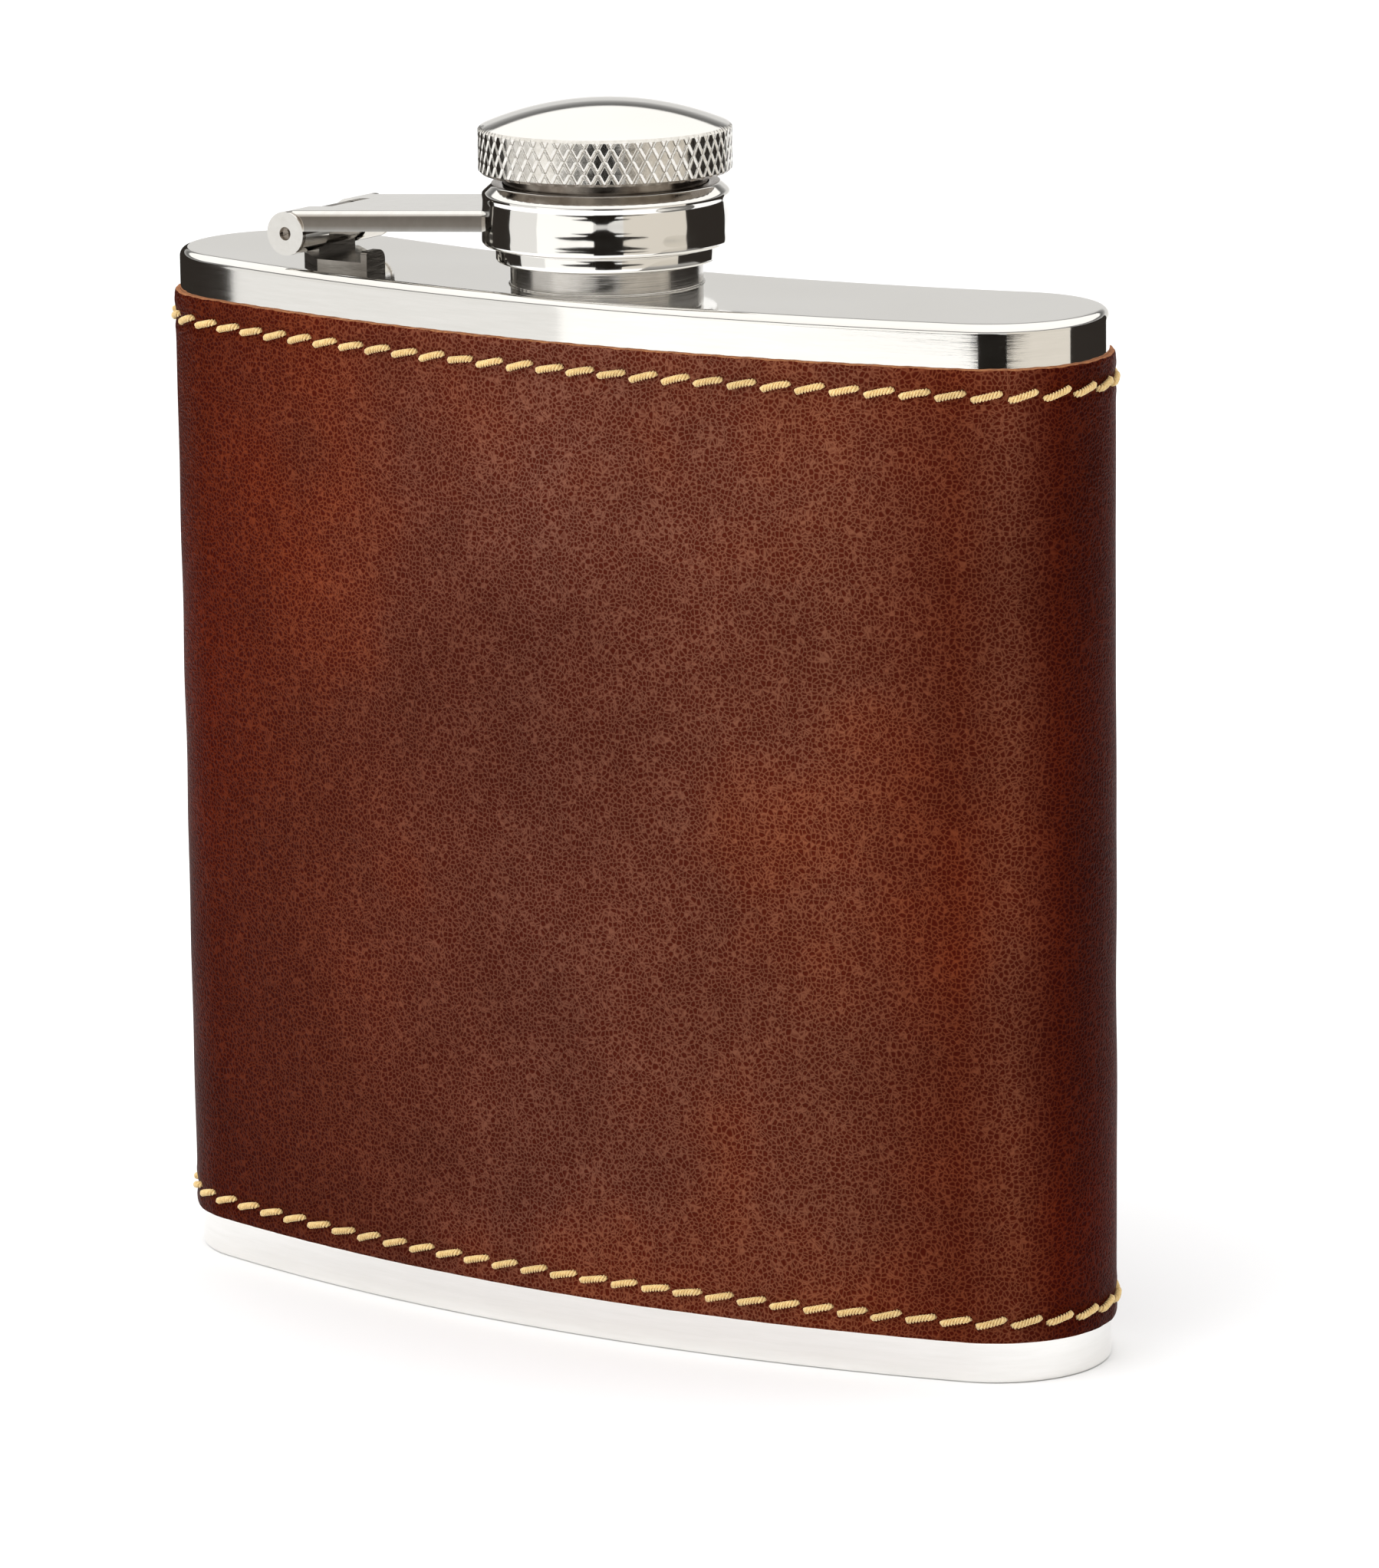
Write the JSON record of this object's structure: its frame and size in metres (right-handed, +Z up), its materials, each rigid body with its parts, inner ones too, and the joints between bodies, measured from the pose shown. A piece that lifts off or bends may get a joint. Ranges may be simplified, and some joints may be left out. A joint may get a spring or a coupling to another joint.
{
  "type": "hip flask",
  "caption": "Slim curved pocket flask for spirits: polished steel body in a stitched leather wrap, with a captive screw cap on a hinged arm.",
  "frame": {"origin": "middle of the flat base, on the surface that the flask stands on, midway between the front and back faces at the centre line", "axes": "+Z up, +X along the width towards the side away from the cap's hinge, -Y towards the convex front face"},
  "size_m": [0.0954, 0.0264, 0.1076],
  "materials": {
    "polished_steel": "mirror polished stainless steel",
    "brushed_steel": "turned or fine brushed stainless steel",
    "brown_leather": "semi-gloss mottled reddish brown, fine grain",
    "golden_thread": "twisted waxed thread",
    "clear_silicone": "translucent satin"
  },
  "bodies": {
    "flask": {"body_wall": "polished_steel", "top_plate": "polished_steel", "base_plate": "polished_steel", "spout": "brushed_steel", "spout_weld": "brushed_steel", "hinge_bracket": "brushed_steel", "leather_wrap": "brown_leather", "top_stitching": "golden_thread", "bottom_stitching": "golden_thread", "back_seam_stitching": "golden_thread"},
    "arm": {"hinge_arm": "polished_steel", "swivel_ring": "polished_steel", "hinge_pin": "brushed_steel"},
    "cap": {"cap_head": "polished_steel", "cap_sleeve": "polished_steel", "cap_gasket": "clear_silicone"}
  },
  "joints": [
    {"name": "arm_hinge", "type": "hinge", "parent": "flask", "child": "arm", "pos_m": [-0.0293, 0.0005, 0.09463], "axis": [0, -1, 0], "range_deg": [0, 165]},
    {"name": "cap_spin", "type": "hinge", "parent": "arm", "child": "cap", "pos_m": [0.00025, 0.0005, 0.0977], "axis": [0, 0, 1], "continuous": true}
  ]
}
